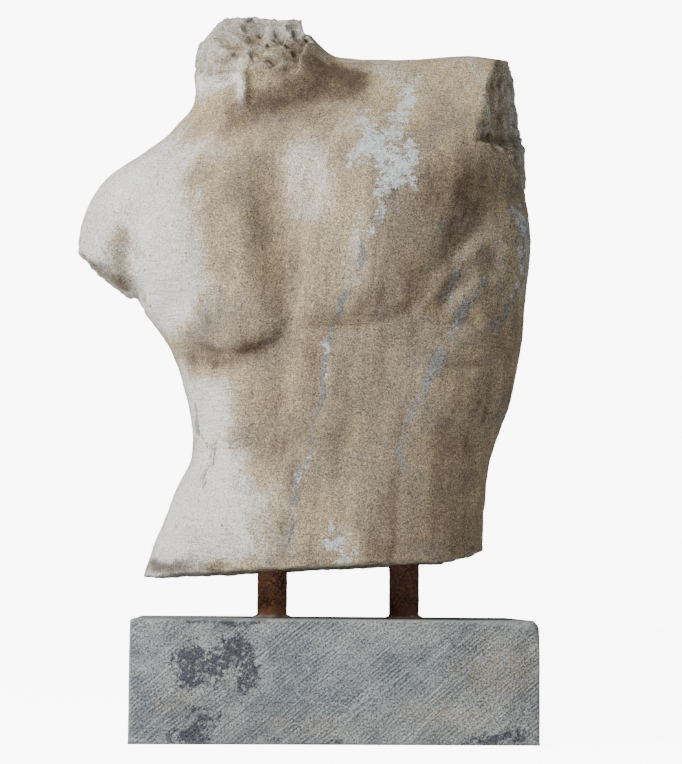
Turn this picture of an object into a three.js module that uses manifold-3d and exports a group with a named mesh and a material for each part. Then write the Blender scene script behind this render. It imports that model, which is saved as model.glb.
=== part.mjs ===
// A broken marble torso of a standing man, carried by two iron rods on a sawn block of grey stone.
// Millimetres, +Z up, +X to the right and +Y away from whoever faces the breast.
// The origin is the middle of the block's underside.
import * as THREE from "three";
import { mergeVertices } from "three/addons/utils/BufferGeometryUtils.js";
import Module from "manifold-3d";

const wasm = await Module();
wasm.setup();

// Driving dimensions
const plinth = { width: 400, depth: 240, height: 120, wear: 3, socketDepth: 60 };
const rod = { diameter: 32, spacing: 136, shift: 8, socketDepth: 70, clearance: 0.4, sides: 24 };
const mortar = { width: 7, height: 4, clearance: 0.3 };
const torso = { height: 600, standOff: 44 };

// The torso is carved in shares of its height, of which 600 make the whole, and grown to its height at the end.
// They are measured from the point standOff above the middle of the block's top.
const grow = torso.height / 600;
const cellShare = 17.2; // the step at which the form is sampled

// Front view: where the stone's outline runs, before the breaks are knocked off.
const outline = [
  [-144, 672], [-147, 584], [-150, 551], [-150, 532], [-148, 515], [-149, 500], [-155, 489],
  [-165, 478], [-178, 464], [-198, 450], [-218, 437], [-239, 422], [-253, 405], [-263, 385],
  [-269, 368], [-272, 352], [-273, 340], [-287, 323], [-232, 267], [-210, 291],
  [-199, 275], [-185, 258], [-174, 242], [-166, 226], [-159, 208], [-154, 190], [-149, 172],
  [-146, 153], [-145, 134], [-147, 117], [-154, 102], [-162, 86], [-168, 69], [-175, 51],
  [-182, 34], [-188, 16], [-194, -1], [-203, -47], [-206, -330],
  [146, -330], [154, 32], [155, 58], [157, 82], [159, 105], [165, 129], [173, 152], [181, 173],
  [186, 197], [191, 222], [195, 247], [197, 273], [200, 298], [203, 324], [204, 349],
  [202, 375], [200, 402], [219, 418], [240, 462], [240, 538], [198, 550],
  [150, 551], [123, 549], [91, 545], [59, 544], [27, 544], [3, 548], [-9, 555], [-22, 567],
  [-31, 578], [-38, 672],
];

// Side view: how far the front and the back stand from the rods' plane at each height,
// and which x the body turns about there.
const sideView = [
  { height: -34, front: -98, back: 100, middle: -20 },
  { height: 6, front: -98, back: 96, middle: -20 },
  { height: 56, front: -97, back: 86, middle: -12 },
  { height: 136, front: -94, back: 78, middle: 6 },
  { height: 186, front: -97, back: 82, middle: 6 },
  { height: 236, front: -101, back: 94, middle: 0 },
  { height: 286, front: -104, back: 106, middle: -4 },
  { height: 336, front: -104, back: 113, middle: -8 },
  { height: 386, front: -98, back: 113, middle: -12 },
  { height: 436, front: -84, back: 104, middle: -25 },
  { height: 476, front: -66, back: 92, middle: -55 },
  { height: 506, front: -56, back: 82, middle: -80 },
  { height: 536, front: -54, back: 73, middle: -90 },
  { height: 576, front: -58, back: 66, middle: -92 },
  { height: 636, front: -64, back: 60, middle: -95 },
];
const turn = 0.16; // how much nearer the right flank stands for each mm across
const armHalfDepth = 62;
const shoulderHalfDepth = 78;
const neckRim = 58;
const stoneFoot = -22; // below and above these heights the breaks take everything off
const stoneTop = 640;
const roundness = 1.38; // the rim's radius, as a share of the half depth

// Muscles with a closed border. They are crisp along the lower edge and soft above it.
const frontPads = [
  {
    part: "breast on the left", rise: 25, lowest: 215, crispOver: 66, softLow: 17, softHigh: 86,
    border: [
      [-178, 247], [-160, 228], [-141, 220], [-118, 214], [-96, 216], [-75, 226], [-56, 240],
      [-44, 266], [-45, 311], [-50, 372], [-64, 422], [-99, 450], [-149, 449], [-188, 420],
      [-207, 369], [-214, 319], [-200, 279],
    ],
  },
  {
    part: "breast on the right", rise: 18, lowest: 247, crispOver: 90, softLow: 30, softHigh: 85,
    border: [
      [-49, 256], [-32, 248], [-7, 246], [23, 248], [52, 254], [77, 268], [99, 289], [115, 312],
      [132, 338], [154, 370], [178, 396], [193, 447], [163, 488], [81, 497], [1, 483],
      [-49, 448], [-57, 372], [-55, 311],
    ],
  },
];

// Ridges and grooves along a line: fade is the share of the line over which each end dies away.
const frontLines = [
  {
    part: "breast bone", width: 24, rise: -8, fade: 0.3,
    line: [[-71, 453], [-58, 382], [-51, 311], [-46, 241]],
  },
  {
    part: "collar bone, right", width: 14, rise: 4, fade: 0.4,
    line: [[-81, 450], [-49, 459], [-9, 471], [41, 488]],
  },
  {
    part: "collar bone, left", width: 14, rise: 3, fade: 0.4,
    line: [[-109, 448], [-134, 439], [-161, 425], [-188, 405]],
  },
  {
    part: "hollow over the collar bone", width: 18, rise: -7, fade: 0.4,
    line: [[-71, 475], [-29, 484], [11, 499]],
  },
  {
    part: "groove beside the left shoulder", width: 17, rise: -13, fade: 0.4,
    line: [[-196, 391], [-208, 359], [-214, 329], [-214, 301], [-202, 275]],
  },
  {
    part: "armpit hollow", width: 17, rise: -10, fade: 0.35,
    line: [[167, 391], [146, 359], [126, 331], [108, 306], [82, 283]],
  },
  {
    part: "fold below the armpit", width: 10, rise: 7, fade: 0.45,
    line: [[168, 349], [147, 334], [127, 318], [109, 297], [90, 274], [62, 259]],
  },
  {
    part: "groove below the fold", width: 10, rise: -5, fade: 0.4,
    line: [[150, 298], [128, 293], [112, 281], [100, 263], [90, 238]],
  },
  {
    part: "upper rib", width: 13, rise: 5, fade: 0.4,
    line: [[154, 284], [134, 282], [120, 267], [108, 243]],
  },
  {
    part: "back muscle's edge", width: 11, rise: 5, fade: 0.4,
    line: [[181, 371], [175, 325], [171, 274]],
  },
  {
    part: "gap between the ribs", width: 10, rise: -4, fade: 0.45,
    line: [[146, 268], [128, 253], [112, 243]],
  },
  {
    part: "middle rib", width: 12, rise: 4, fade: 0.45,
    line: [[142, 249], [122, 233], [102, 215]],
  },
  {
    part: "end of the ribs", width: 8, rise: -4, fade: 0.45,
    line: [[162, 216], [132, 209], [98, 205]],
  },
  {
    part: "edge of the right flank", width: 13, rise: -3, fade: 0.45,
    line: [[62, 222], [60, 173], [63, 123]],
  },
  {
    part: "edge of the rib arch, left", width: 14, rise: -5, fade: 0.45,
    line: [[-53, 211], [-59, 171], [-72, 139], [-95, 119]],
  },
  {
    part: "edge of the belly, right", width: 16, rise: -2.5, fade: 0.45,
    line: [[39, 237], [36, 182], [31, 123]],
  },
  {
    part: "crease of the bent waist", width: 11, rise: -8, fade: 0.4,
    line: [[-138, 113], [-100, 117], [-67, 122], [-26, 124]],
  },
  {
    part: "crease running on to the right", width: 14, rise: -3, fade: 0.45,
    line: [[-46, 122], [3, 128], [43, 127], [83, 118]],
  },
  {
    part: "middle line of the belly", width: 12, rise: -2, fade: 0.3,
    line: [[-38, 142], [-43, 73], [-46, -6]],
  },
  {
    part: "pinch in the left flank", width: 8, rise: -4, fade: 0.45,
    line: [[-135, 160], [-129, 133], [-124, 113], [-131, 89], [-139, 67]],
  },
];

// Rounded swellings and hollows: across and up are their reaches, tilt is in degrees.
const frontMounds = [
  { part: "pit of the neck", at: [-96, 458], across: 20, up: 14, rise: -7, tilt: 0 },
  { part: "left shoulder", at: [-241, 358], across: 20, up: 40, rise: 8, tilt: -20 },
  { part: "hollow behind the fold", at: [156, 314], across: 12, up: 18, rise: -7, tilt: 0 },
  { part: "lowest ribs, right", at: [109, 171], across: 46, up: 38, rise: 8, tilt: 10 },
  { part: "hollow of the right flank", at: [124, 126], across: 22, up: 26, rise: -6, tilt: -30 },
  { part: "rib arch, left", at: [-115, 170], across: 36, up: 50, rise: 11, tilt: -6 },
  { part: "upper belly", at: [-25, 176], across: 34, up: 56, rise: 4, tilt: 0 },
  { part: "lower belly, left", at: [-94, 75], across: 74, up: 46, rise: 10, tilt: 0 },
  { part: "lower belly, right", at: [38, 73], across: 70, up: 55, rise: 4, tilt: 0 },
  { part: "left hip", at: [-156, 32], across: 30, up: 40, rise: 6, tilt: -15 },
];

const backLines = [
  {
    part: "broad valley of the spine", width: 42, rise: -7, fade: 0.2,
    line: [[-62, 500], [-30, 420], [10, 330], [22, 240], [16, 140], [2, 40], [-8, -40]],
  },
  {
    part: "furrow of the spine", width: 13, rise: -8, fade: 0.2,
    line: [[-50, 470], [-22, 400], [10, 330], [22, 240], [16, 140], [2, 40], [-8, -40]],
  },
  {
    part: "column left of the spine", width: 20, rise: 6, fade: 0.3,
    line: [[-26, 280], [-18, 200], [-22, 110], [-36, 0]],
  },
  {
    part: "column right of the spine", width: 20, rise: 6, fade: 0.3,
    line: [[56, 280], [60, 200], [54, 110], [40, 0]],
  },
  {
    part: "inner edge of the left blade", width: 11, rise: 5, fade: 0.35,
    line: [[-92, 420], [-72, 350], [-84, 276]],
  },
  {
    part: "inner edge of the right blade", width: 11, rise: 5, fade: 0.35,
    line: [[62, 430], [74, 350], [104, 262]],
  },
  {
    part: "ridge of the left blade", width: 12, rise: 5, fade: 0.35,
    line: [[-92, 408], [-150, 404], [-212, 386]],
  },
  {
    part: "ridge of the right blade", width: 12, rise: 5, fade: 0.35,
    line: [[60, 440], [110, 462], [168, 486]],
  },
  {
    part: "edge of the left side muscle", width: 14, rise: -5, fade: 0.4,
    line: [[-150, 236], [-112, 180], [-60, 130]],
  },
  {
    part: "edge of the right side muscle", width: 14, rise: -5, fade: 0.4,
    line: [[168, 220], [128, 170], [92, 126]],
  },
];
const backMounds = [
  { part: "left shoulder blade", at: [-128, 338], across: 54, up: 62, rise: 11, tilt: 8 },
  { part: "right shoulder blade", at: [126, 350], across: 50, up: 72, rise: 11, tilt: -12 },
  { part: "hollow of the loins", at: [14, 120], across: 70, up: 55, rise: -5, tilt: 0 },
  { part: "left seat", at: [-96, -20], across: 66, up: 56, rise: 14, tilt: 0 },
  { part: "right seat", at: [84, -20], across: 60, up: 56, rise: 14, tilt: 0 },
];

// Where the stone is broken. Each face is a rough plane through a point with its outward direction,
// and what lies outside it is gone. Where a break ends against sound stone, within says on which side it lies.
const breaks = [
  { part: "underside", rough: 0.8, faces: [{ at: [0, 0, 7], out: [0.056, -0.014, -0.998] }] },
  { part: "lower right corner", rough: 1.5, faces: [{ at: [116, 0, 13], out: [0.3, -0.03, -0.95] }] },
  {
    part: "neck", rough: 4.5, within: { at: [-24, 0, 575], out: [-0.97, 0, 0.25] },
    faces: [
      { at: [-157, 0, 540], out: [-0.74, -0.22, 0.64] },
      { at: [-60, -50, 525], out: [0, -0.814, 0.581] },
      { at: [-70, 0, 587], out: [0, -0.2, 0.98] },
    ],
  },
  {
    part: "left arm", rough: 2, within: { at: [-200, 0, 290], out: [-1, 0, 0] },
    faces: [{ at: [-268, 10, 342], out: [-0.642, 0.094, -0.761] }],
  },
  {
    part: "right shoulder above", rough: 4, within: { at: [152, -80, 441], out: [0.29, -0.35, 0.89] },
    faces: [{ at: [184, -5, 520], out: [0.9, -0.398, 0.17] }],
  },
  {
    part: "right shoulder below", rough: 3, within: { at: [180, -68, 396], out: [0, 0, 1] },
    faces: [{ at: [180, -68, 430], out: [0.97, -0.228, 0.08] }],
  },
];

const smoothStep = (t) => {
  const c = Math.min(1, Math.max(0, t));
  return c * c * (3 - 2 * c);
};
const between = (a, b, t) => a + (b - a) * t;

// A Catmull-Rom curve through the points, as straight steps.
function curveThrough(points, closed, steps) {
  const count = points.length;
  const pick = (i) => (closed ? points[(i + count) % count] : points[Math.min(Math.max(i, 0), count - 1)]);
  const curve = [];
  for (let i = 0; i < (closed ? count : count - 1); i++) {
    const [a, b, c, d] = [pick(i - 1), pick(i), pick(i + 1), pick(i + 2)];
    for (let k = 0; k < steps; k++) {
      const t = k / steps;
      curve.push(
        [0, 1].map(
          (n) =>
            0.5 *
            (2 * b[n] + (c[n] - a[n]) * t + (2 * a[n] - 5 * b[n] + 4 * c[n] - d[n]) * t * t +
              (3 * b[n] - a[n] - 3 * c[n] + d[n]) * t ** 3),
        ),
      );
    }
  }
  if (!closed) curve.push(points[count - 1]);
  return curve;
}

function isInside(x, z, loop) {
  let inside = false;
  for (let i = 0, j = loop.length - 1; i < loop.length; j = i++) {
    const [ax, az] = loop[i];
    const [bx, bz] = loop[j];
    if (az > z !== bz > z && x < ((bx - ax) * (z - az)) / (bz - az) + ax) inside = !inside;
  }
  return inside;
}

// Depth inside a closed loop. Near the border it is the plain distance, and further in it is rounded off,
// so that a shape swollen from it has no creases.
function depthInside(x, z, loop) {
  let sum = 0;
  for (let i = 0, j = loop.length - 1; i < loop.length; j = i++) {
    const [ax, az] = loop[j];
    const [bx, bz] = loop[i];
    const length = Math.hypot(bx - ax, bz - az);
    if (length < 1e-9) continue;
    const ux = (bx - ax) / length;
    const uz = (bz - az) / length;
    const near = -((x - ax) * ux + (z - az) * uz);
    const far = near + length;
    const off = Math.max(Math.abs((x - ax) * uz - (z - az) * ux), 0.4);
    const off2 = off * off;
    sum += (far / (far * far + off2) - near / (near * near + off2)) / (2 * off2);
    sum += (Math.atan(far / off) - Math.atan(near / off)) / (2 * off2 * off);
  }
  const depth = (sum / (Math.PI / 2)) ** (-1 / 3);
  return isInside(x, z, loop) ? depth : -depth;
}

// Distance to an open line, and how far along it the nearest point lies.
function nearestOnLine(x, z, line) {
  let best = Infinity;
  let along = 0;
  for (let i = 0; i < line.length - 1; i++) {
    const [ax, az] = line[i];
    const ux = line[i + 1][0] - ax;
    const uz = line[i + 1][1] - az;
    const t = Math.min(1, Math.max(0, ((x - ax) * ux + (z - az) * uz) / (ux * ux + uz * uz)));
    const distance = Math.hypot(x - ax - t * ux, z - az - t * uz);
    if (distance < best) {
      best = distance;
      along = (i + t) / (line.length - 1);
    }
  }
  return { distance: best, along };
}

const outlineCurve = curveThrough(outline, true, 4);
for (const pad of frontPads) pad.loop = curveThrough(pad.border, true, 4);
for (const stroke of [...frontLines, ...backLines]) stroke.curve = curveThrough(stroke.line, false, 5);

function padRise(x, z, pad) {
  const high = smoothStep((z - pad.lowest - 4) / pad.crispOver);
  const u = Math.min(1, Math.max(0, depthInside(x, z, pad.loop) / between(pad.softLow, pad.softHigh, high)));
  return pad.rise * between(1 - (1 - u) ** 2, smoothStep(u), high);
}

function lineRise(x, z, stroke) {
  const { distance, along } = nearestOnLine(x, z, stroke.curve);
  const ends = smoothStep(along / stroke.fade) * smoothStep((1 - along) / stroke.fade);
  return stroke.rise * ends * Math.exp(-((distance / stroke.width) ** 2));
}

function moundRise(x, z, mound) {
  const angle = THREE.MathUtils.degToRad(mound.tilt);
  const dx = x - mound.at[0];
  const dz = z - mound.at[1];
  const u = (dx * Math.cos(angle) + dz * Math.sin(angle)) / mound.across;
  const v = (dz * Math.cos(angle) - dx * Math.sin(angle)) / mound.up;
  return mound.rise * Math.exp(-u * u - v * v);
}

const totalRise = (x, z, pads, lines, mounds) =>
  pads.reduce((sum, p) => sum + padRise(x, z, p), 0) +
  lines.reduce((sum, s) => sum + lineRise(x, z, s), 0) +
  mounds.reduce((sum, m) => sum + moundRise(x, z, m), 0);

// The side view's value at a height, on a smooth curve through its rows.
function sideAt(height, key) {
  const last = sideView.length - 1;
  const h = Math.min(sideView[last].height, Math.max(sideView[0].height, height));
  const i = Math.min(last - 1, Math.max(0, sideView.findIndex((row) => row.height >= h) - 1));
  const slope = (n) => {
    const a = sideView[Math.max(0, n - 1)];
    const b = sideView[Math.min(last, n + 1)];
    return (b[key] - a[key]) / (b.height - a.height);
  };
  const step = sideView[i + 1].height - sideView[i].height;
  const t = (h - sideView[i].height) / step;
  return (
    (2 * t ** 3 - 3 * t ** 2 + 1) * sideView[i][key] + (t ** 3 - 2 * t ** 2 + t) * step * slope(i) +
    (3 * t ** 2 - 2 * t ** 3) * sideView[i + 1][key] + (t ** 3 - t ** 2) * step * slope(i + 1)
  );
}

// The body's section along y at one place of the front view.
function sectionAt(x, z) {
  const front = sideAt(z, "front");
  const back = sideAt(z, "back");
  const arm = smoothStep((-150 - x) / 90) * smoothStep((z - 266) / 60);
  const shoulder = smoothStep((x - 110) / 100) * smoothStep((z - 336) / 80);
  const halfDepth = between(between((back - front) / 2, armHalfDepth, arm), shoulderHalfDepth, shoulder);
  const neck = smoothStep((z - 476) / 50) * smoothStep((20 - x) / 60);
  const rim = between(roundness * halfDepth, neckRim, neck);
  return {
    middle: (front + back) / 2 - turn * (x - sideAt(z, "middle")),
    front: halfDepth + totalRise(x, z, frontPads, frontLines, frontMounds),
    back: halfDepth + totalRise(x, z, [], backLines, backMounds),
    edge: Math.max(0, 1 - depthInside(x, z, outlineCurve) / rim),
  };
}

// Below 0 inside the stone.
function stoneField(y, z, section) {
  const half = y < section.middle ? section.front : section.back;
  const body = Math.hypot((y - section.middle) / half, section.edge) - 1;
  return Math.max(body, (stoneFoot - z) / neckRim, (z - stoneTop) / neckRim);
}

// A closed skin over a field, with one point in each cell that the surface crosses.
function skinOver(low, high, cell) {
  const count = low.map((v, i) => Math.ceil((high[i] - v) / cell) + 1);
  const place = (i, axis) => low[axis] + i * cell;
  const sections = new Map();
  const section = (x, z) => {
    const key = x + ":" + z;
    if (!sections.has(key)) sections.set(key, sectionAt(x, z));
    return sections.get(key);
  };
  const index = (i, j, k) => (i * count[1] + j) * count[2] + k;
  const value = new Float64Array(count[0] * count[1] * count[2]);
  for (let i = 0; i < count[0]; i++)
    for (let k = 0; k < count[2]; k++) {
      const here = section(place(i, 0), place(k, 2));
      for (let j = 0; j < count[1]; j++) value[index(i, j, k)] = stoneField(place(j, 1), place(k, 2), here);
    }

  const fieldAt = (p) => stoneField(p[1], p[2], sectionAt(p[0], p[2]));
  const nudge = 0.5;
  const ontoSurface = (p) => {
    const here = fieldAt(p);
    const slope = [0, 1, 2].map((n) => (fieldAt(p.map((v, m) => (m === n ? v + nudge : v))) - here) / nudge);
    const steep = slope.reduce((sum, s) => sum + s * s, 0);
    const step = slope.map((s) => (here * s) / steep);
    const length = Math.hypot(...step);
    const limit = Math.min(1, (0.4 * cell) / Math.max(length, 1e-9));
    return p.map((v, n) => v - step[n] * limit);
  };

  const corners = [];
  for (let n = 0; n < 8; n++) corners.push([n & 1, (n >> 1) & 1, (n >> 2) & 1]);
  const edges = [];
  for (let a = 0; a < 8; a++) for (const bit of [1, 2, 4]) if (!(a & bit)) edges.push([a, a | bit]);

  const points = [];
  const pointOf = new Map();
  for (let i = 0; i < count[0] - 1; i++)
    for (let j = 0; j < count[1] - 1; j++)
      for (let k = 0; k < count[2] - 1; k++) {
        const values = corners.map(([a, b, c]) => value[index(i + a, j + b, k + c)]);
        if (values.every((v) => v < 0) || values.every((v) => v >= 0)) continue;
        const sum = [0, 0, 0];
        let crossings = 0;
        for (const [a, b] of edges) {
          if (values[a] < 0 === values[b] < 0) continue;
          const t = values[a] / (values[a] - values[b]);
          [i, j, k].forEach((base, n) => {
            sum[n] += place(base + between(corners[a][n], corners[b][n], t), n);
          });
          crossings++;
        }
        pointOf.set(index(i, j, k), points.length);
        points.push(ontoSurface(ontoSurface(sum.map((v) => v / crossings))));
      }

  const triangles = [];
  const span = (a, b) => Math.hypot(...points[a].map((v, n) => v - points[b][n]));
  const quad = (a, b, c, d, flip) => {
    const ring = flip ? [a, d, c, b] : [a, b, c, d];
    if (span(ring[0], ring[2]) < span(ring[1], ring[3]))
      triangles.push(ring[0], ring[1], ring[2], ring[0], ring[2], ring[3]);
    else triangles.push(ring[1], ring[2], ring[3], ring[1], ring[3], ring[0]);
  };
  for (let i = 1; i < count[0] - 1; i++)
    for (let j = 1; j < count[1] - 1; j++)
      for (let k = 1; k < count[2] - 1; k++) {
        const inside = (di, dj, dk) => value[index(i + di, j + dj, k + dk)] < 0;
        const at = (di, dj, dk) => pointOf.get(index(i + di, j + dj, k + dk));
        const here = inside(0, 0, 0);
        if (here !== inside(1, 0, 0)) quad(at(0, -1, -1), at(0, 0, -1), at(0, 0, 0), at(0, -1, 0), !here);
        if (here !== inside(0, 1, 0)) quad(at(-1, 0, -1), at(-1, 0, 0), at(0, 0, 0), at(0, 0, -1), !here);
        if (here !== inside(0, 0, 1)) quad(at(-1, -1, 0), at(0, -1, 0), at(0, 0, 0), at(-1, 0, 0), !here);
      }
  return new THREE.BufferGeometry()
    .setAttribute("position", new THREE.Float32BufferAttribute(points.flat(), 3))
    .setIndex(triangles);
}

function solidOf(geometry) {
  const bare = geometry.clone();
  bare.deleteAttribute("normal");
  bare.deleteAttribute("uv");
  const merged = mergeVertices(bare, 1e-4);
  return new wasm.Manifold(
    new wasm.Mesh({
      numProp: 3,
      vertProperties: merged.attributes.position.array,
      triVerts: new Uint32Array(merged.index.array),
    }),
  );
}

function geometryOf(solid) {
  const made = solid.getMesh();
  return new THREE.BufferGeometry()
    .setAttribute("position", new THREE.BufferAttribute(new Float32Array(made.vertProperties), 3))
    .setIndex(new THREE.BufferAttribute(new Uint32Array(made.triVerts), 1));
}

// The same number from 0 to 1 for the same place every time.
const scatter = (a, b, seed) => {
  const wave = Math.sin(a * 12.9898 + b * 78.233 + seed * 37.719) * 43758.5453;
  return wave - Math.floor(wave);
};

// A slab whose near face is broken stone, to knock off all that lies outside a plane.
function breakSlab(plane, rough, seed) {
  const size = 420;
  const thickness = 300;
  const cells = 22;
  const slab = new THREE.BoxGeometry(size, size, thickness, cells, cells, 1);
  slab.translate(0, 0, thickness / 2);
  const place = slab.attributes.position;
  for (let i = 0; i < place.count; i++) {
    if (place.getZ(i) > 1) continue;
    const [x, y] = [Math.round(place.getX(i)), Math.round(place.getY(i))];
    place.setZ(i, rough * (2 * scatter(x, y, seed) - 1));
  }
  const out = new THREE.Vector3(...plane.out).normalize();
  slab.applyQuaternion(new THREE.Quaternion().setFromUnitVectors(new THREE.Vector3(0, 0, 1), out));
  slab.translate(...plane.at);
  return solidOf(slab);
}

function knockOff(solid, group, seed) {
  let gone = breakSlab(group.faces[0], group.rough, seed);
  for (const face of group.faces.slice(1)) gone = gone.add(breakSlab(face, group.rough, seed + 1));
  if (group.within) gone = gone.intersect(breakSlab(group.within, 0, seed));
  return solid.subtract(gone);
}

function cylinder(radius, bottom, top, x) {
  const shaft = new THREE.CylinderGeometry(radius, radius, top - bottom, rod.sides);
  shaft.rotateX(Math.PI / 2);
  shaft.translate(x, 0, (top + bottom) / 2);
  return shaft;
}

// The rods stand in sockets: one in the block's top and one in the torso's underside.
const rodPlaces = [-1, 1].map((side) => rod.shift + (side * rod.spacing) / 2);
const torsoFoot = plinth.height + torso.standOff;
const socketRadius = rod.diameter / 2 + rod.clearance;
const underside = breaks[0].faces[0];
const undersideAt = (x) =>
  torsoFoot + grow * underside.at[2] + (x * underside.out[0]) / -underside.out[2];
const rodTop = (x) => undersideAt(x) + rod.socketDepth;

function makeTorso() {
  const reach = (values, pick) => pick(...values) + (pick === Math.min ? -2 : 2) * cellShare;
  const across = outline.map(([x]) => x);
  const swell = 40;
  const low = [
    reach(across, Math.min),
    reach(sideView.map((row) => row.front - swell), Math.min),
    reach([stoneFoot], Math.min),
  ];
  const high = [
    reach(across, Math.max),
    reach(sideView.map((row) => row.back + swell), Math.max),
    reach([stoneTop], Math.max),
  ];
  let stone = solidOf(skinOver(low, high, cellShare));
  breaks.forEach((group, i) => {
    stone = knockOff(stone, group, 4 * i + 9);
  });
  const carved = geometryOf(stone);
  carved.scale(grow, grow, grow);
  carved.translate(0, 0, torsoFoot);
  let drilled = solidOf(carved);
  for (const x of rodPlaces)
    drilled = drilled.subtract(solidOf(cylinder(socketRadius, plinth.height, rodTop(x) + rod.clearance, x)));
  return geometryOf(drilled);
}

// The sawn block, with its edges worn and chipped. Its underside stays flat.
function makePlinth() {
  const [across, along, up] = [16, 10, 4];
  const half = [plinth.width / 2, plinth.depth / 2, plinth.height / 2];
  const block = new THREE.BoxGeometry(plinth.width, plinth.depth, plinth.height, across, along, up);
  const place = block.attributes.position;
  for (let i = 0; i < place.count; i++) {
    const p = [place.getX(i), place.getY(i), place.getZ(i)];
    const outer = p.map((v, n) => Math.abs(Math.abs(v) - half[n]) < 0.01);
    const faces = outer.filter(Boolean).length;
    if (faces < 2) continue;
    const chance = scatter(Math.round(p[0]), Math.round(p[1] + 3 * p[2]), 5);
    const chip = plinth.wear * (faces - 1) * (0.25 + 0.75 * chance);
    p.forEach((v, n) => {
      const keepsFlat = n === 2 && v < 0;
      if (outer[n] && !keepsFlat) p[n] = v - Math.sign(v) * chip;
    });
    place.setXYZ(i, ...p);
  }
  block.translate(0, 0, plinth.height / 2);
  let drilled = solidOf(block);
  const floor = plinth.height - plinth.socketDepth;
  for (const x of rodPlaces)
    drilled = drilled.subtract(solidOf(cylinder(socketRadius, floor, plinth.height + 10, x)));
  return geometryOf(drilled);
}

const makeRod = (x) =>
  cylinder(rod.diameter / 2, plinth.height - plinth.socketDepth + rod.clearance, rodTop(x), x);

// The collar of mortar round a rod's foot.
function makeMortar(x) {
  const inner = rod.diameter / 2 + mortar.clearance;
  const profile = [
    [inner, 0],
    [inner + mortar.width, 0],
    [inner + mortar.width * 0.45, mortar.height * 0.35],
    [inner, mortar.height],
    [inner, 0],
  ].map(([radius, height]) => new THREE.Vector2(radius, height));
  const collar = new THREE.LatheGeometry(profile, rod.sides);
  collar.rotateX(Math.PI / 2);
  collar.translate(x, 0, plinth.height + mortar.clearance);
  return collar;
}

const marble = new THREE.MeshStandardMaterial({ color: 0xc2b49c, roughness: 0.62, metalness: 0 });
const greyStone = new THREE.MeshStandardMaterial({ color: 0x8b9194, roughness: 0.85, metalness: 0 });
const rustyIron = new THREE.MeshStandardMaterial({ color: 0x3f221a, roughness: 0.8, metalness: 0.35 });
const limeMortar = new THREE.MeshStandardMaterial({ color: 0x9a8a80, roughness: 0.95, metalness: 0 });

const sculpture = new THREE.Group();
function add(name, geometry, material) {
  const mesh = new THREE.Mesh(geometry, material);
  mesh.name = name;
  sculpture.add(mesh);
}

add("torso", makeTorso(), marble);
add("plinth", makePlinth(), greyStone);
rodPlaces.forEach((x, i) => {
  const side = ["left", "right"][i];
  add("rod_" + side, makeRod(x), rustyIron);
  add("mortar_" + side, makeMortar(x), limeMortar);
});

export default sculpture;
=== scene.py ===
import math
import bpy
import numpy as np
from mathutils import Matrix, Vector


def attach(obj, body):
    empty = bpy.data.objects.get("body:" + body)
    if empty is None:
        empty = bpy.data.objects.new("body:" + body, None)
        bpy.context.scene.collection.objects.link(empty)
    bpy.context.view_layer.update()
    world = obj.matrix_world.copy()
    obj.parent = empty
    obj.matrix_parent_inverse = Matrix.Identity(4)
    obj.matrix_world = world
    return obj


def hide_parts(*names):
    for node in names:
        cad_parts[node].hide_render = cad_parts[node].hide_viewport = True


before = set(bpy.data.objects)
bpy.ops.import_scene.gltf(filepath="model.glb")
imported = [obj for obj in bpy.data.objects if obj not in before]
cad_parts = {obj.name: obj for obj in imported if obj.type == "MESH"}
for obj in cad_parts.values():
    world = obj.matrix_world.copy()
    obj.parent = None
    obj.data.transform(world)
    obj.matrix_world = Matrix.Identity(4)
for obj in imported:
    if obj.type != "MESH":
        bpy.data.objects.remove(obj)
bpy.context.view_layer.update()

mm = 0.001

# The torso's numbers are in millimetres, from a point torsoFoot above the middle of the block's underside.
torso = {
    "torsoFoot": 164.0,
    "cell": 3.05,          # spacing of the points in the skin
    "low": (-300, -150, -30),      # the box that the skin is looked for in
    "high": (262, 150, 640),
    "turn": 0.16,          # how much nearer the right flank stands for each mm across
    "armHalfDepth": 62.0,
    "shoulderHalfDepth": 78.0,
    "neckRim": 58.0,
    "fieldScale": 60.0,    # turns shares of the half depth into about millimetres
    "roundness": 1.38,     # the rim's radius as a share of the half depth
    "breakReach": 30.0,    # how near to a broken plane its relief is worked out
    "edgeWear": 2.2,       # how soft the broken edges have worn
    "chipWear": 1.2,       # and those of the chips
    "dents": 0.55,         # height of the shallow dents in the carved skin
    "ripples": 0.3,
    "weathered": 0.4,      # depth that the weather has taken off
    "pits": 0.9,
}

outline = [
    (-144, 672), (-147, 584), (-150, 551), (-150, 532), (-148, 515), (-149, 500), (-155, 489),
    (-165, 478), (-178, 464), (-198, 450), (-218, 437), (-239, 422), (-253, 405), (-263, 385),
    (-268, 368), (-270, 352), (-271, 340), (-285, 323), (-232, 267), (-210, 291),
    (-199, 275), (-185, 258), (-174, 242), (-166, 226), (-159, 208), (-154, 190), (-149, 172),
    (-146, 153), (-145, 134), (-147, 117), (-154, 102), (-162, 86), (-168, 69), (-175, 51),
    (-182, 34), (-188, 16), (-194, -1), (-203, -47), (-206, -330),
    (146, -330), (154, 32), (155, 58), (157, 82), (159, 105), (165, 129), (173, 152), (181, 173),
    (186, 197), (191, 222), (195, 247), (197, 273), (200, 298), (203, 324), (204, 349),
    (202, 375), (200, 402), (219, 418), (240, 462), (240, 518), (198, 532),
    (150, 541), (123, 542), (91, 540), (59, 540), (27, 541), (0, 545), (-13, 554), (-25, 566),
    (-35, 578), (-42, 672),
]

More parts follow.
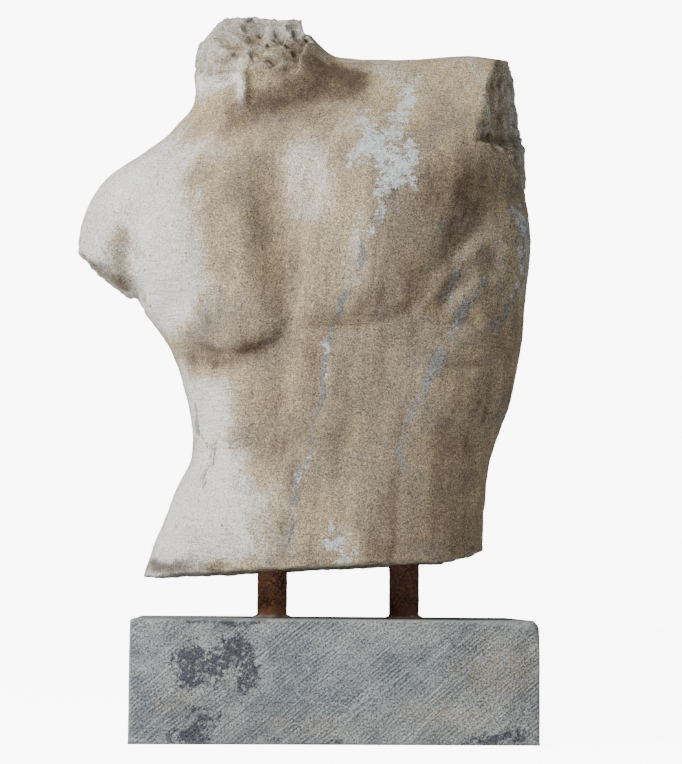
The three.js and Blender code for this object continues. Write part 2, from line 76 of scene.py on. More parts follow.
# height, front, back, and the x that the body turns about
sideView = np.array([
    (-34, -98, 100, -20), (6, -98, 96, -20), (56, -97, 86, -12), (136, -94, 78, 6), (186, -97, 82, 6),
    (236, -101, 94, 0), (286, -104, 106, -4), (336, -104, 113, -8), (386, -98, 113, -12),
    (436, -84, 104, -25), (476, -66, 92, -55), (506, -56, 82, -80), (536, -54, 73, -90),
    (576, -58, 66, -92), (636, -64, 60, -95),
], float)

# lowest point, height over which the edge goes soft, soft widths below and above, rise, border
frontPads = [
    (218, 66, 23, 86, 25, [
        (-178, 254), (-160, 237), (-141, 229), (-118, 222), (-96, 221), (-75, 227), (-56, 240),
        (-44, 266), (-45, 311), (-50, 372), (-64, 422), (-99, 450), (-149, 449), (-188, 420),
        (-207, 369), (-214, 319), (-200, 279)]),
    (245, 90, 44, 88, 18, [
        (-49, 256), (-32, 248), (-7, 246), (23, 248), (52, 254), (77, 268), (99, 289), (115, 312),
        (132, 338), (154, 370), (178, 396), (193, 447), (163, 488), (81, 497), (1, 483),
        (-49, 448), (-57, 372), (-55, 311)]),
]

# width, rise, share of the line that each end fades over, line
frontLines = [
    (24, -8, 0.3, [(-71, 453), (-58, 382), (-51, 311), (-46, 241)]),                 # breast bone
    (14, 4, 0.4, [(-81, 450), (-49, 459), (-9, 471), (41, 488)]),                    # collar bones
    (14, 3, 0.4, [(-109, 448), (-134, 439), (-161, 425), (-188, 405)]),
    (18, -7, 0.4, [(-71, 475), (-29, 484), (11, 499)]),
    (17, -13, 0.4, [(-196, 391), (-208, 359), (-214, 329), (-214, 301), (-202, 275)]),  # beside the arm
    (17, -10, 0.35, [(167, 391), (146, 359), (126, 331), (108, 306), (82, 283)]),     # armpit
    (10, 7, 0.45, [(168, 349), (147, 334), (127, 318), (109, 297), (90, 274), (62, 259)]),
    (10, -5, 0.4, [(150, 298), (128, 293), (112, 281), (100, 263), (90, 238)]),
    (13, 5, 0.4, [(154, 284), (134, 282), (120, 267), (108, 243)]),                  # ribs
    (11, 5, 0.4, [(181, 371), (175, 325), (171, 274)]),
    (10, -4, 0.45, [(146, 268), (128, 253), (112, 243)]),
    (12, 4, 0.45, [(142, 249), (122, 233), (102, 215)]),
    (8, -4, 0.45, [(162, 216), (132, 209), (98, 205)]),
    (13, -3, 0.45, [(62, 222), (60, 173), (63, 123)]),
    (14, -5, 0.45, [(-53, 211), (-59, 171), (-72, 139), (-95, 119)]),                # rib arch
    (16, -2.5, 0.45, [(39, 237), (36, 182), (31, 123)]),
    (11, -8, 0.4, [(-138, 113), (-100, 117), (-67, 122), (-26, 124)]),               # waist crease
    (14, -3, 0.45, [(-46, 122), (3, 128), (43, 127), (83, 118)]),
    (12, -2, 0.3, [(-38, 142), (-43, 73), (-46, -6)]),
    (8, -4, 0.45, [(-135, 160), (-129, 133), (-124, 113), (-131, 89), (-139, 67)]),
    (6, 8, 0.3, [(-101, 530), (-97, 502), (-97, 474)]),                     # spur under the neck's break
    (7, -4, 0.4, [(-112, 520), (-108, 500), (-106, 486)]),
    (4, -5, 0.3, [(-147, 511), (-131, 503), (-112, 510), (-106, 517)]),
]

# place, reach across and up, rise, tilt
frontMounds = [
    ((-96, 458), 20, 14, -7, 0), ((-241, 358), 20, 40, 8, -20), ((156, 314), 12, 18, -7, 0),
    ((109, 171), 46, 38, 8, 10), ((124, 126), 22, 26, -6, -30), ((-115, 170), 36, 50, 11, -6),
    ((-25, 176), 34, 56, 4, 0), ((-94, 75), 74, 46, 10, 0), ((38, 73), 70, 55, 4, 0),
    ((-156, 32), 30, 40, 6, -15),
]

backLines = [
    (42, -7, 0.2, [(-62, 500), (-30, 420), (10, 330), (22, 240), (16, 140), (2, 40), (-8, -40)]),
    (13, -8, 0.2, [(-50, 470), (-22, 400), (10, 330), (22, 240), (16, 140), (2, 40), (-8, -40)]),
    (20, 6, 0.3, [(-26, 280), (-18, 200), (-22, 110), (-36, 0)]),
    (20, 6, 0.3, [(56, 280), (60, 200), (54, 110), (40, 0)]),
    (11, 5, 0.35, [(-92, 420), (-72, 350), (-84, 276)]),
    (11, 5, 0.35, [(62, 430), (74, 350), (104, 262)]),
    (12, 5, 0.35, [(-92, 408), (-150, 404), (-212, 386)]),
    (12, 5, 0.35, [(60, 440), (110, 462), (168, 486)]),
    (14, -5, 0.4, [(-150, 236), (-112, 180), (-60, 130)]),
    (14, -5, 0.4, [(168, 220), (128, 170), (92, 126)]),
]
backMounds = [
    ((-128, 338), 54, 62, 11, 8), ((126, 350), 50, 72, 11, -12), ((14, 120), 70, 55, -5, 0),
    ((-96, -20), 66, 56, 14, 0), ((84, -20), 60, 56, 14, 0),
]

# Planes that several breaks share, each as a point and an outward direction.
neckSide = ((-24, 0, 575), (-0.97, 0, 0.25))
ledge = ((152, -80, 441), (0.29, -0.35, 0.89))
armpit = ((180, -68, 396), (0, 0, 1))

# Broken faces: roughness, grain size and planes.
# What lies outside all the planes of one entry is gone, or only its skin to the depth at the entry's end.
breaks = [
    (1.0, 22, [((0, 0, 7), (0.056, -0.014, -0.998))]),                   # underside
    (1.8, 20, [((116, 0, 13), (0.3, -0.03, -0.95))]),
    (2.6, 20, [((-130, -30, 518), (-0.253, -0.359, 0.898)), ((-46, 0, 575), (-0.97, 0, 0.25))], 3.5),
    (3.5, 24, [((-156, 0, 539), (-0.74, -0.22, 0.64)), neckSide]),       # neck
    (4.5, 24, [((-60, -50, 525), (0, -0.814, 0.581)), neckSide]),
    (3.0, 24, [((-70, 0, 586), (0, -0.2, 0.98)), neckSide]),
    (1.5, 18, [((-270, 0, 339), (-0.642, 0, -0.761)), ((-200, 0, 290), (-1, 0, 0))]),      # arm
    (4.0, 26, [((165, -68, 540), (0.9, -0.42, -0.08)), ledge]),          # shoulder
    (3.0, 30, [((187, -20, 526), (0.9, 0.1, 0.42)), ledge]),
    (3.0, 30, [((178, -70, 430), (0.93, -0.36, 0.06)), armpit]),
    (2.5, 30, [((201, 0, 440), (0.99, 0.12, 0.05)), armpit]),
]

# Colour marks on the marble, two of them painted shade: each is width, strength, line.
marks = {
    "patina_and_painted_shade": [
        (66, 0.55, [(-40, 400), (-40, 300), (-30, 200), (-20, 110), (-10, 20)]),
        (80, 0.6, [(80, 400), (80, 300), (90, 180), (90, 60)]),
        (30, 0.5, [(-87, 444), (-88, 373), (-82, 292), (-68, 227)]),
        (20, 0.95, [(-146, 232), (-121, 224), (-91, 222), (-65, 230), (-30, 227)]),
        (28, 0.95, [(-128, 246), (-92, 244), (-62, 254)]),
        (26, 0.5, [(-27, 262), (13, 262), (63, 255)]),
        (30, 0.85, [(-112, 236), (-86, 238), (-62, 254), (-48, 300)]),
        (24, 0.7, [(-84, 176), (-80, 124)]),
        (44, 0.68, [(60, 260), (66, 158), (62, 60)]),
        (13, 0.5, [(-135, 133), (-75, 132), (-6, 138)]),
        (18, 0.75, [(-60, 43), (-49, 19)]),
        (18, 0.6, [(44, 24), (88, 27), (133, 35)]),
        (46, 0.62, [(163, 245), (153, 194), (133, 124), (122, 30)]),
        (42, 0.7, [(133, 387), (118, 326), (93, 290)]),
        (38, 0.5, [(103, 500), (113, 438), (108, 387)]),
        (9, 0.7, [(-123, 3), (-98, 4), (-74, 6)]),
        (30, 0.8, [(-94, 466), (-54, 474), (-19, 489), (6, 500)]),
        (14, 0.5, [(-32, 242), (-36, 142), (-45, 53)]),
        (16, 0.45, [(8, 243), (4, 153), (-1, 73)]),
        (24, 0.8, [(172, 530), (180, 470), (188, 400)]),
        (26, 0.75, [(-86, 540), (-50, 524)]),
        (12, 1.0, [(-222, 345), (-219, 310), (-211, 282)]),
        # painted shade: a faint stroke darkens the left shoulder where its form turns from the light
        (32, 0.42, [(-152, 472), (-140, 410), (-132, 350)]),
    ],
    "stain_and_painted_shade": [
        (22, 0.8, [(-94, 478), (-54, 486), (-19, 499), (6, 504)]),
        (18, 0.92, [(-36, 550), (-26, 530), (-8, 515), (16, 506)]),
        (12, 0.6, [(-64, 528), (-52, 505)]),
        (22, 0.45, [(133, 387), (118, 345)]),
        (16, 0.15, [(176, 500), (182, 460), (188, 400)]),
        (8, 0.6, [(-200, 6), (-152, 3), (-123, 3)]),
        (30, 0.3, [(160, 300), (160, 200), (140, 100)]),
        (11, 0.55, [(-140, 227), (-118, 220), (-92, 220), (-68, 230)]),
        # painted shade: a dark line along the arm's cut edge, where the cut face turns from the light
        (6, 0.8, [(-264, 334), (-233, 308), (-206, 285)]),
        (12, 0.55, [(-60, 548), (-48, 532)]),
        (9, 0.75, [(-198, 16), (-176, 8), (-150, 8)]),
        (9, 0.3, [(-222, 345), (-219, 310), (-211, 282)]),
    ],
    "vein": [
        (4, 0.8, [(38, 350), (27, 328), (8, 273), (-12, 212), (-18, 172), (-31, 107), (-45, 53),
                  (-51, 14)]),
        (4, 0.7, [(150, 296), (120, 250), (98, 210), (78, 173), (68, 133), (63, 94)]),
        (3, 0.7, [(112, 380), (96, 330), (84, 292)]),
        (3, 0.7, [(-256, 336), (-240, 339), (-222, 346)]),
        (10, 0.5, [(72, 477), (47, 395), (27, 328), (8, 273), (-12, 212), (-18, 172), (-31, 107),
                   (-45, 53), (-51, 14)]),
        (9, 0.5, [(163, 315), (133, 274), (103, 224), (78, 173), (68, 133), (63, 94)]),
        (9, 0.5, [(14, 113), (-6, 53), (-15, 24)]),
        (9, 0.6, [(164, 331), (133, 305), (103, 275)]),
        (22, 0.75, [(176, 386), (186, 331), (180, 285), (166, 250)]),
        (12, 0.45, [(110, 330), (120, 250), (100, 190)]),
        (5, 0.95, [(-137, 175), (-129, 122), (-131, 90)]),
    ],
    "chalk": [
        (15, 0.72, [(67, 492), (57, 447), (42, 426), (57, 396)]),
        (12, 0.7, [(27, 466), (32, 431), (15, 414)]),
        (10, 0.7, [(67, 420), (78, 384)]),
        (9, 0.5, [(54, 400), (40, 372), (36, 340)]),
        (8, 0.55, [(-7, 230), (-9, 196)]),
        (7, 0.5, [(-31, 120), (-33, 86)]),
        (15, 0.62, [(2, 42), (6, 18)]),
        (12, 0.5, [(182, 370), (188, 330), (178, 280)]),
        (8, 0.4, [(150, 296), (122, 250)]),
        (5, 1.0, [(-213, 290), (-206, 287)]),
    ],
    "white": [
        (60, 0.8, [(-215, 400), (-195, 330), (-175, 280)]),
        (36, 0.8, [(-146, 178), (-128, 150), (-128, 110)]),
        (6, 0.9, [(-100, 530), (-96, 502), (-96, 476)]),
        (5, 0.95, [(-212, 288), (-205, 284)]),
        (6, 0.7, [(-148, 514), (-124, 506), (-104, 512)]),
        (60, 0.8, [(-170, 60), (-120, 60), (-90, 50)]),
        (30, 0.8, [(-30, 420), (-20, 370)]),
        (30, 0.5, [(-120, 430), (-160, 440)]),
        (14, 0.6, [(20, 330), (14, 290)]),
    ],
}


def smoothStep(t):
    t = np.clip(t, 0, 1)
    return t * t * (3 - 2 * t)


def between(a, b, t):
    return a + (b - a) * t


def curveThrough(points, closed, steps):
    p = np.array(points, float)
    n = len(p)
    t = (np.arange(steps) / steps)[:, None]
    curve = []
    for i in range(n if closed else n - 1):
        around = (i - 1, i, i + 1, i + 2)
        a, b, c, d = (p[k % n] if closed else p[min(max(k, 0), n - 1)] for k in around)
        bend, twist = 2 * a - 5 * b + 4 * c - d, 3 * b - a - 3 * c + d
        curve.append(0.5 * (2 * b + (c - a) * t + bend * t ** 2 + twist * t ** 3))
    if not closed:
        curve.append(p[-1:])
    return np.concatenate(curve)


def isInside(x, z, loop):
    inside = np.zeros(x.shape, bool)
    for (ax, az), (bx, bz) in zip(loop, np.roll(loop, 1, 0)):
        if az != bz:
            inside ^= ((az > z) != (bz > z)) & (x < (bx - ax) * (z - az) / (bz - az) + ax)
    return inside


# Depth inside a closed loop, rounded off further in so that a swollen shape has no creases.
def depthInside(x, z, loop):
    total = np.zeros(x.shape)
    for (ax, az), (bx, bz) in zip(np.roll(loop, 1, 0), loop):
        length = math.hypot(bx - ax, bz - az)
        if length < 1e-9:
            continue
        ux, uz = (bx - ax) / length, (bz - az) / length
        near = -((x - ax) * ux + (z - az) * uz)
        far = near + length
        off = np.maximum(np.abs((x - ax) * uz - (z - az) * ux), 0.4)
        total += (far / (far ** 2 + off ** 2) - near / (near ** 2 + off ** 2)) / (2 * off ** 2)
        total += (np.arctan(far / off) - np.arctan(near / off)) / (2 * off ** 3)
    depth = (total / (math.pi / 2)) ** (-1 / 3)
    return np.where(isInside(x, z, loop), depth, -depth)


def nearestOnLine(x, z, line):
    best = np.full(x.shape, np.inf)
    along = np.zeros(x.shape)
    last = len(line) - 1
    for i in range(last):
        ux, uz = line[i + 1] - line[i]
        dx, dz = x - line[i][0], z - line[i][1]
        t = np.clip((dx * ux + dz * uz) / (ux * ux + uz * uz), 0, 1)
        d = np.hypot(dx - t * ux, dz - t * uz)
        closer = d < best
        best = np.where(closer, d, best)
        along = np.where(closer, (i + t) / last, along)
    return best, along


def padRise(x, z, pad):
    lowest, crispOver, softLow, softHigh, rise, border = pad
    high = smoothStep((z - lowest - 4) / crispOver)
    u = np.clip(depthInside(x, z, curveThrough(border, True, 4)) / between(softLow, softHigh, high), 0, 1)
    return rise * between(1 - (1 - u) ** 2, smoothStep(u), high)


def lineRise(x, z, width, rise, fade, line):
    d, along = nearestOnLine(x, z, curveThrough(line, False, 5))
    return rise * smoothStep(along / fade) * smoothStep((1 - along) / fade) * np.exp(-((d / width) ** 2))


def moundRise(x, z, at, across, up, rise, tilt):
    a = math.radians(tilt)
    dx, dz = x - at[0], z - at[1]
    u = (dx * math.cos(a) + dz * math.sin(a)) / across
    v = (dz * math.cos(a) - dx * math.sin(a)) / up
    return rise * np.exp(-u * u - v * v)


# Smooth noise from -1 to 1 on a repeating lattice.
def noise(points, size, seed):
    repeat = 32
    lattice = np.random.default_rng(seed).uniform(-1, 1, (repeat, repeat, repeat))
    p = points / size
    base = np.floor(p).astype(int)
    f = p - base
    f = f * f * (3 - 2 * f)
    total = 0
    for corner in range(8):
        step = np.array([corner & 1, corner >> 1 & 1, corner >> 2 & 1])
        i = (base + step) % repeat
        weight = np.prod(np.where(step, f, 1 - f), axis=-1)
        total = total + weight * lattice[i[..., 0], i[..., 1], i[..., 2]]
    return total


def sideAt(z, column):
    h, v = sideView[:, 0], sideView[:, column]
    slope = np.empty(len(h))
    slope[1:-1] = (v[2:] - v[:-2]) / (h[2:] - h[:-2])
    slope[0] = (v[1] - v[0]) / (h[1] - h[0])
    slope[-1] = (v[-1] - v[-2]) / (h[-1] - h[-2])
    z = np.clip(z, h[0], h[-1])
    i = np.clip(np.searchsorted(h, z) - 1, 0, len(h) - 2)
    step = h[i + 1] - h[i]
    t = (z - h[i]) / step
    return ((2 * t ** 3 - 3 * t ** 2 + 1) * v[i] + (t ** 3 - 2 * t ** 2 + t) * step * slope[i]
            + (3 * t ** 2 - 2 * t ** 3) * v[i + 1] + (t ** 3 - t ** 2) * step * slope[i + 1])


# The body's section along y at each place of the front view, on a fine map.
mapStep = 2.0
mapX = np.arange(-330, 300, mapStep)
mapZ = np.arange(-70, 690, mapStep)


def makeSections():
    x, z = np.meshgrid(mapX, mapZ, indexing="ij")
    front, back = sideAt(z, 1), sideAt(z, 2)
    arm = smoothStep((-150 - x) / 90) * smoothStep((z - 266) / 60)
    shoulder = smoothStep((x - 110) / 100) * smoothStep((z - 336) / 80)
    half = between((back - front) / 2, torso["armHalfDepth"], arm)
    half = between(half, torso["shoulderHalfDepth"], shoulder)
    neck = smoothStep((z - 476) / 50) * smoothStep((20 - x) / 60)
    rim = between(torso["roundness"] * half, torso["neckRim"], neck)
    frontRise = sum(padRise(x, z, p) for p in frontPads)
    frontRise += sum(lineRise(x, z, *s) for s in frontLines)
    frontRise += sum(moundRise(x, z, *m) for m in frontMounds)
    backRise = sum(lineRise(x, z, *s) for s in backLines) + sum(moundRise(x, z, *m) for m in backMounds)
    return np.stack([
        (front + back) / 2 - torso["turn"] * (x - sideAt(z, 3)),
        half + frontRise,
        half + backRise,
        1 - depthInside(x, z, curveThrough(outline, True, 4)) / rim,
    ], -1)


def lookUp(table, x, z):
    u = np.clip((x - mapX[0]) / mapStep, 0, len(mapX) - 1.001)
    v = np.clip((z - mapZ[0]) / mapStep, 0, len(mapZ) - 1.001)
    i, k = u.astype(int), v.astype(int)
    u, v = (u - i)[..., None], (v - k)[..., None]
    return (table[i, k] * (1 - u) * (1 - v) + table[i + 1, k] * u * (1 - v)
            + table[i, k + 1] * (1 - u) * v + table[i + 1, k + 1] * u * v)


def softMax(a, b, k):
    h = np.clip(0.5 + 0.5 * (a - b) / k, 0, 1)
    return b + (a - b) * h + k * h * (1 - h)


# Distance to the nearest of scattered points, as a share of their spacing: it scoops a face into chips.
def scoops(points, size, seed):
    repeat = 24
    lattice = np.random.default_rng(seed).uniform(0, 1, (repeat, repeat, repeat, 3))
    p = points / size
    base = np.floor(p).astype(int)
    nearest = np.full(len(points), 9.0)
    for n in range(27):
        cell = base + np.array([n % 3, n // 3 % 3, n // 9]) - 1
        i = cell % repeat
        gap = np.linalg.norm(cell + lattice[i[:, 0], i[:, 1], i[:, 2]] - p, axis=1)
        nearest = np.minimum(nearest, gap)
    return nearest


# Height of the broken stone over its plane: lumps, scooped chips and grain.
def brokenRelief(p, rough, grain, seed):
    lumps = 0.7 * noise(p, grain, seed)
    warped = p + 6 * lumps[:, None]
    crests = 0.4 - 1.5 * np.abs(noise(warped, grain * 0.85, seed + 4))
    chipped = 1.5 * (scoops(warped, grain * 0.6, seed + 1) ** 2 - 0.28)
    small = 0.9 * (0.3 - np.abs(noise(p, grain * 0.36, seed + 2))) + 0.35 * noise(p, grain * 0.18, seed + 3)
    return rough * (lumps + crests + chipped + small)


def breakField(p, body):
    total = np.full(p.shape[:-1], -1e3)
    for n, (rough, grain, planes, *peel) in enumerate(breaks):
        gone = body + peel[0] if peel else None
        for at, out in planes:
            away = (p - np.array(at, float)) @ (np.array(out, float) / np.linalg.norm(out))
            gone = away if gone is None else np.minimum(gone, away)
        near = np.abs(gone) < torso["breakReach"]
        if near.any():
            gone[near] -= brokenRelief(p[near], rough, grain, 100 + 10 * n)
        total = np.maximum(total, gone)
    return total


# Knocks along the edges and single chips in the skin: place and radius.
chips = [
    ((-196, -62, 283), 9), ((-120, -88, 2), 12), ((-176, -70, 1), 10), ((60, -95, 5), 9),
    ((-20, -98, 3), 7), ((136, -66, 18), 12), ((158, -70, 442), 10),
    ((-60, -104, 225), 4), ((20, -104, 262), 3.5), ((-110, -90, 60), 4), ((90, -92, 150), 4),
    ((-30, 100, 2), 14), ((70, 88, 10), 12), ((-110, 92, 1), 12),
]


def bodyField(p, sections):
    s = lookUp(sections, p[..., 0], p[..., 2])
    away = p[..., 1] - s[..., 0]
    half = np.where(away < 0, s[..., 1], s[..., 2])
    body = (np.hypot(away / half, np.maximum(s[..., 3], 0)) - 1) * torso["fieldScale"]
    return np.maximum(body, p[..., 2] - torso["high"][2])


def stoneField(p, sections):
    body = bodyField(p, sections)
    field = softMax(body, breakField(p, body), torso["edgeWear"])
    for at, radius in chips:
        chip = radius - np.linalg.norm(p - np.array(at, float), axis=-1)
        field = softMax(field, chip, torso["chipWear"])
    return field


# A closed skin over a field: one point in each cell that the surface crosses.
def skinOver(fieldAt, low, high, cell):
    axes = [np.arange(a, b + cell, cell) for a, b in zip(low, high)]
    grid = np.stack(np.meshgrid(*axes, indexing="ij"), -1)
    value = fieldAt(grid)
    inside = value < 0
    count = np.zeros(tuple(n - 1 for n in inside.shape), int)
    corners = [(n & 1, n >> 1 & 1, n >> 2 & 1) for n in range(8)]
    shifted = lambda a, c: a[tuple(slice(s, s + n) for s, n in zip(c, count.shape))]
    for c in corners:
        count += shifted(inside, c)
    cells = np.argwhere((count > 0) & (count < 8))
    v = np.stack([value[tuple((cells + c).T)] for c in corners], -1)
    total, crossings = np.zeros((len(cells), 3)), np.zeros((len(cells), 1))
    for a in range(8):
        for bit in (1, 2, 4):
            b = a | bit
            if a == b:
                continue
            crossed = ((v[:, a] < 0) != (v[:, b] < 0))[:, None]
            gap = np.where(crossed[:, 0], v[:, a] - v[:, b], 1)
            t = (v[:, a] / gap)[:, None]
            ca, cb = np.array(corners[a]), np.array(corners[b])
            total += np.where(crossed, cells + ca + (cb - ca) * t, 0)
            crossings += crossed
    points = np.array(low) + total / crossings * cell
    for _ in range(2):
        here = fieldAt(points)
        slope = np.stack([(fieldAt(points + d) - here) / 0.6 for d in np.eye(3) * 0.6], -1)
        step = slope * (here / np.maximum((slope ** 2).sum(-1), 1e-6))[:, None]
        size = np.linalg.norm(step, axis=-1, keepdims=True)
        points -= step * np.minimum(1, 0.5 * cell / np.maximum(size, 1e-9))

    number = np.full(count.shape, -1)
    number[tuple(cells.T)] = np.arange(len(cells))
    quads = []
    for axis in range(3):
        u, w = (axis + 1) % 3, (axis + 2) % 3
        near = [slice(None)] * 3
        near[axis] = slice(None, -1)
        far = list(near)
        far[axis] = slice(1, None)
        crossed = np.argwhere(inside[tuple(near)] != inside[tuple(far)])
        flip = ~inside[tuple(crossed.T)]
        ring = []
        for du, dw in ((-1, -1), (0, -1), (0, 0), (-1, 0)):
            c = crossed.copy()
            c[:, u] += du
            c[:, w] += dw
            ring.append(number[tuple(c.T)])
        ring = np.stack(ring, -1)
        ring[flip] = ring[flip][:, ::-1]
        quads.append(ring)
    return points, np.concatenate(quads)


def newObject(name, points, faces, smooth=True):
    mesh = bpy.data.meshes.new(name)
    if isinstance(faces, np.ndarray):
        mesh.vertices.add(len(points))
        mesh.vertices.foreach_set("co", np.asarray(points, np.float32).ravel())
        mesh.loops.add(faces.size)
        mesh.loops.foreach_set("vertex_index", faces.astype(np.int32).ravel())
        mesh.polygons.add(len(faces))
        mesh.polygons.foreach_set("loop_start", np.arange(len(faces), dtype=np.int32) * faces.shape[1])
    else:
        mesh.from_pydata([tuple(p) for p in points], [], faces)
    mesh.update(calc_edges=True)
    mesh.validate()
    mesh.shade_smooth() if smooth else mesh.shade_flat()
    obj = bpy.data.objects.new(name, mesh)
    bpy.context.scene.collection.objects.link(obj)
    return obj


def addAttribute(obj, name, values):
    layer = obj.data.attributes.new(name, "FLOAT", "POINT")
    layer.data.foreach_set("value", np.asarray(values, np.float32))


def normalsOf(obj):
    n = np.empty(len(obj.data.vertices) * 3, np.float32)
    obj.data.vertices.foreach_get("normal", n)
    return n.reshape(-1, 3).astype(float)


# How hollow the surface is at each point: 0.5 is flat, more is a hollow, less an edge.
def hollowsOf(obj, points, reach, rounds):
    ends = np.empty(len(obj.data.edges) * 2, np.int32)
    obj.data.edges.foreach_get("vertices", ends)
    a, b = ends.reshape(-1, 2).T
    count = np.bincount(a, minlength=len(points)) + np.bincount(b, minlength=len(points))

    def nearby(values):
        total = np.bincount(a, values[b], len(points)) + np.bincount(b, values[a], len(points))
        return total / np.maximum(count, 1)

    average = points
    for _ in range(rounds):
        average = np.stack([nearby(average[:, n]) for n in range(3)], -1)
    bend = ((average - points) * normalsOf(obj)).sum(1)
    return np.clip(0.5 + nearby(bend) / reach, 0, 1)


def makeTorso():
    sections = makeSections()
    cell = torso["cell"] * 1
    points, quads = skinOver(lambda p: stoneField(p, sections), torso["low"], torso["high"], cell)
    obj = newObject("marble_torso", points, quads)
    normal = normalsOf(obj)
    body = bodyField(points, sections)
    broken = smoothStep((body * -1 - 0.3) / 2.2)      # from 0.3 to 2.5 mm below the carved skin

    # the carved skin has weathered: shallow dents, ripples and pits
    skin = 1 - broken
    p = points
    rise = torso["dents"] * noise(p, 34, 1) + torso["ripples"] * noise(p, 13, 2) - torso["weathered"]
    rise -= torso["pits"] * np.clip(noise(p, 9, 3) - 0.45, 0, 1) * np.clip(noise(p, 40, 4) + 0.4, 0, 1)
    p = p + normal * (rise * (0.35 + 0.65 * skin))[:, None]
    obj.data.vertices.foreach_set("co", ((p + (0, 0, torso["torsoFoot"])) * mm).astype(np.float32).ravel())
    obj.data.update()

    # colour marks are planes of stone that run through the block, so they slant on towards the back
    front = smoothStep((lookUp(sections, p[:, 0], p[:, 2])[:, 0] - p[:, 1]) / 30)
    x = p[:, 0] + 0.25 * (p[:, 1] + 100) * (1 - front)
    for name, strokes in marks.items():
        warp = 9 * noise(p, 30, 20) + 4 * noise(p, 11, 21)
        clear = np.ones(len(p))
        for width, strength, line in strokes:
            d, along = nearestOnLine(x + warp, p[:, 2] + 0.6 * warp, curveThrough(line, False, 4))
            clear *= 1 - strength * np.exp(-((d / width) ** 2))
        addAttribute(obj, name, (1 - clear) * (front if name in ("chalk", "white") else 0.4 + 0.6 * front))
    addAttribute(obj, "broken", broken)
    addAttribute(obj, "hollow", hollowsOf(obj, p, reach=1.6, rounds=6))
    return obj


# Node trees
class Nodes:
    def __init__(self, tree):
        self.tree = tree

    def fill(self, node, inputs):
        for key, value in inputs.items():
            socket = node.inputs[key]
            if isinstance(value, bpy.types.NodeSocket):
                self.tree.links.new(value, socket)
            else:
                socket.default_value = (*value, 1) if socket.type == "RGBA" else value
        return node

    def add(self, kind, inputs=None, **values):
        node = self.tree.nodes.new(kind)
        for key, value in values.items():
            setattr(node, key, value)
        return self.fill(node, inputs or {})

    def math(self, operation, a, b=0.0):
        return self.add("ShaderNodeMath", {0: a, 1: b}, operation=operation).outputs[0]

    def plus(self, a, b):
        return self.math("ADD", a, b)

    def minus(self, a, b):
        return self.math("SUBTRACT", a, b)

    def times(self, a, b):
        return self.math("MULTIPLY", a, b)

    def stretched(self, turn, size):
        inputs = {"Vector": self.coords, "Rotation": turn, "Scale": size}
        return self.add("ShaderNodeMapping", inputs, vector_type="TEXTURE").outputs[0]

    def noise(self, scale, detail=4.0, rough=0.55, warp=0.0, stretch=None):
        vector = self.stretched(*stretch) if stretch else self.coords
        inputs = {"Vector": vector, "Scale": scale, "Detail": detail, "Roughness": rough, "Distortion": warp}
        return self.add("ShaderNodeTexNoise", inputs).outputs["Fac"]

    def cells(self, scale):
        return self.add("ShaderNodeTexVoronoi", {"Vector": self.coords, "Scale": scale}).outputs["Distance"]

    def ramp(self, value, low, high, start=0.0, end=1.0):
        inputs = {"Value": value, "From Min": low, "From Max": high, "To Min": start, "To Max": end}
        return self.add("ShaderNodeMapRange", inputs, interpolation_type="SMOOTHSTEP").outputs[0]

    def mix(self, amount, a, b, blend="MIX"):
        inputs = {"Factor": amount, 6: a, 7: b}
        return self.add("ShaderNodeMix", inputs, data_type="RGBA", blend_type=blend).outputs[2]

    def coat(self, amount, shade, blend="MIX"):
        self.colour = self.mix(amount, self.colour, shade, blend)

    def attribute(self, name):
        return self.add("ShaderNodeAttribute", attribute_name=name).outputs["Fac"]

    def bump(self, height, strength, distance):
        inputs = {"Height": height, "Strength": strength, "Distance": distance}
        return self.add("ShaderNodeBump", inputs).outputs[0]


def newMaterial(name):
    material = bpy.data.materials.new(name)
    material.use_nodes = True
    material.node_tree.nodes.clear()
    n = Nodes(material.node_tree)
    n.coords = n.add("ShaderNodeTexCoord").outputs["Object"]
    n.shader = n.add("ShaderNodeBsdfPrincipled")
    n.add("ShaderNodeOutputMaterial", {"Surface": n.shader.outputs[0]})
    return material, n


marbleLook = {
    "light": (0.47, 0.455, 0.41),
    "white": (0.7, 0.7, 0.665),
    "warm": (0.41, 0.322, 0.192),
    "olive": (0.195, 0.175, 0.142),
    "patina_and_painted_shade": (0.222, 0.168, 0.112),
    "deep": (0.095, 0.062, 0.038),
    "stain_and_painted_shade": (0.06, 0.037, 0.021),
    "vein": (0.175, 0.192, 0.2),
    "chalk": (0.52, 0.56, 0.58),
    "fresh": (0.50, 0.475, 0.425),
    "speck": (0.035, 0.027, 0.018),
}


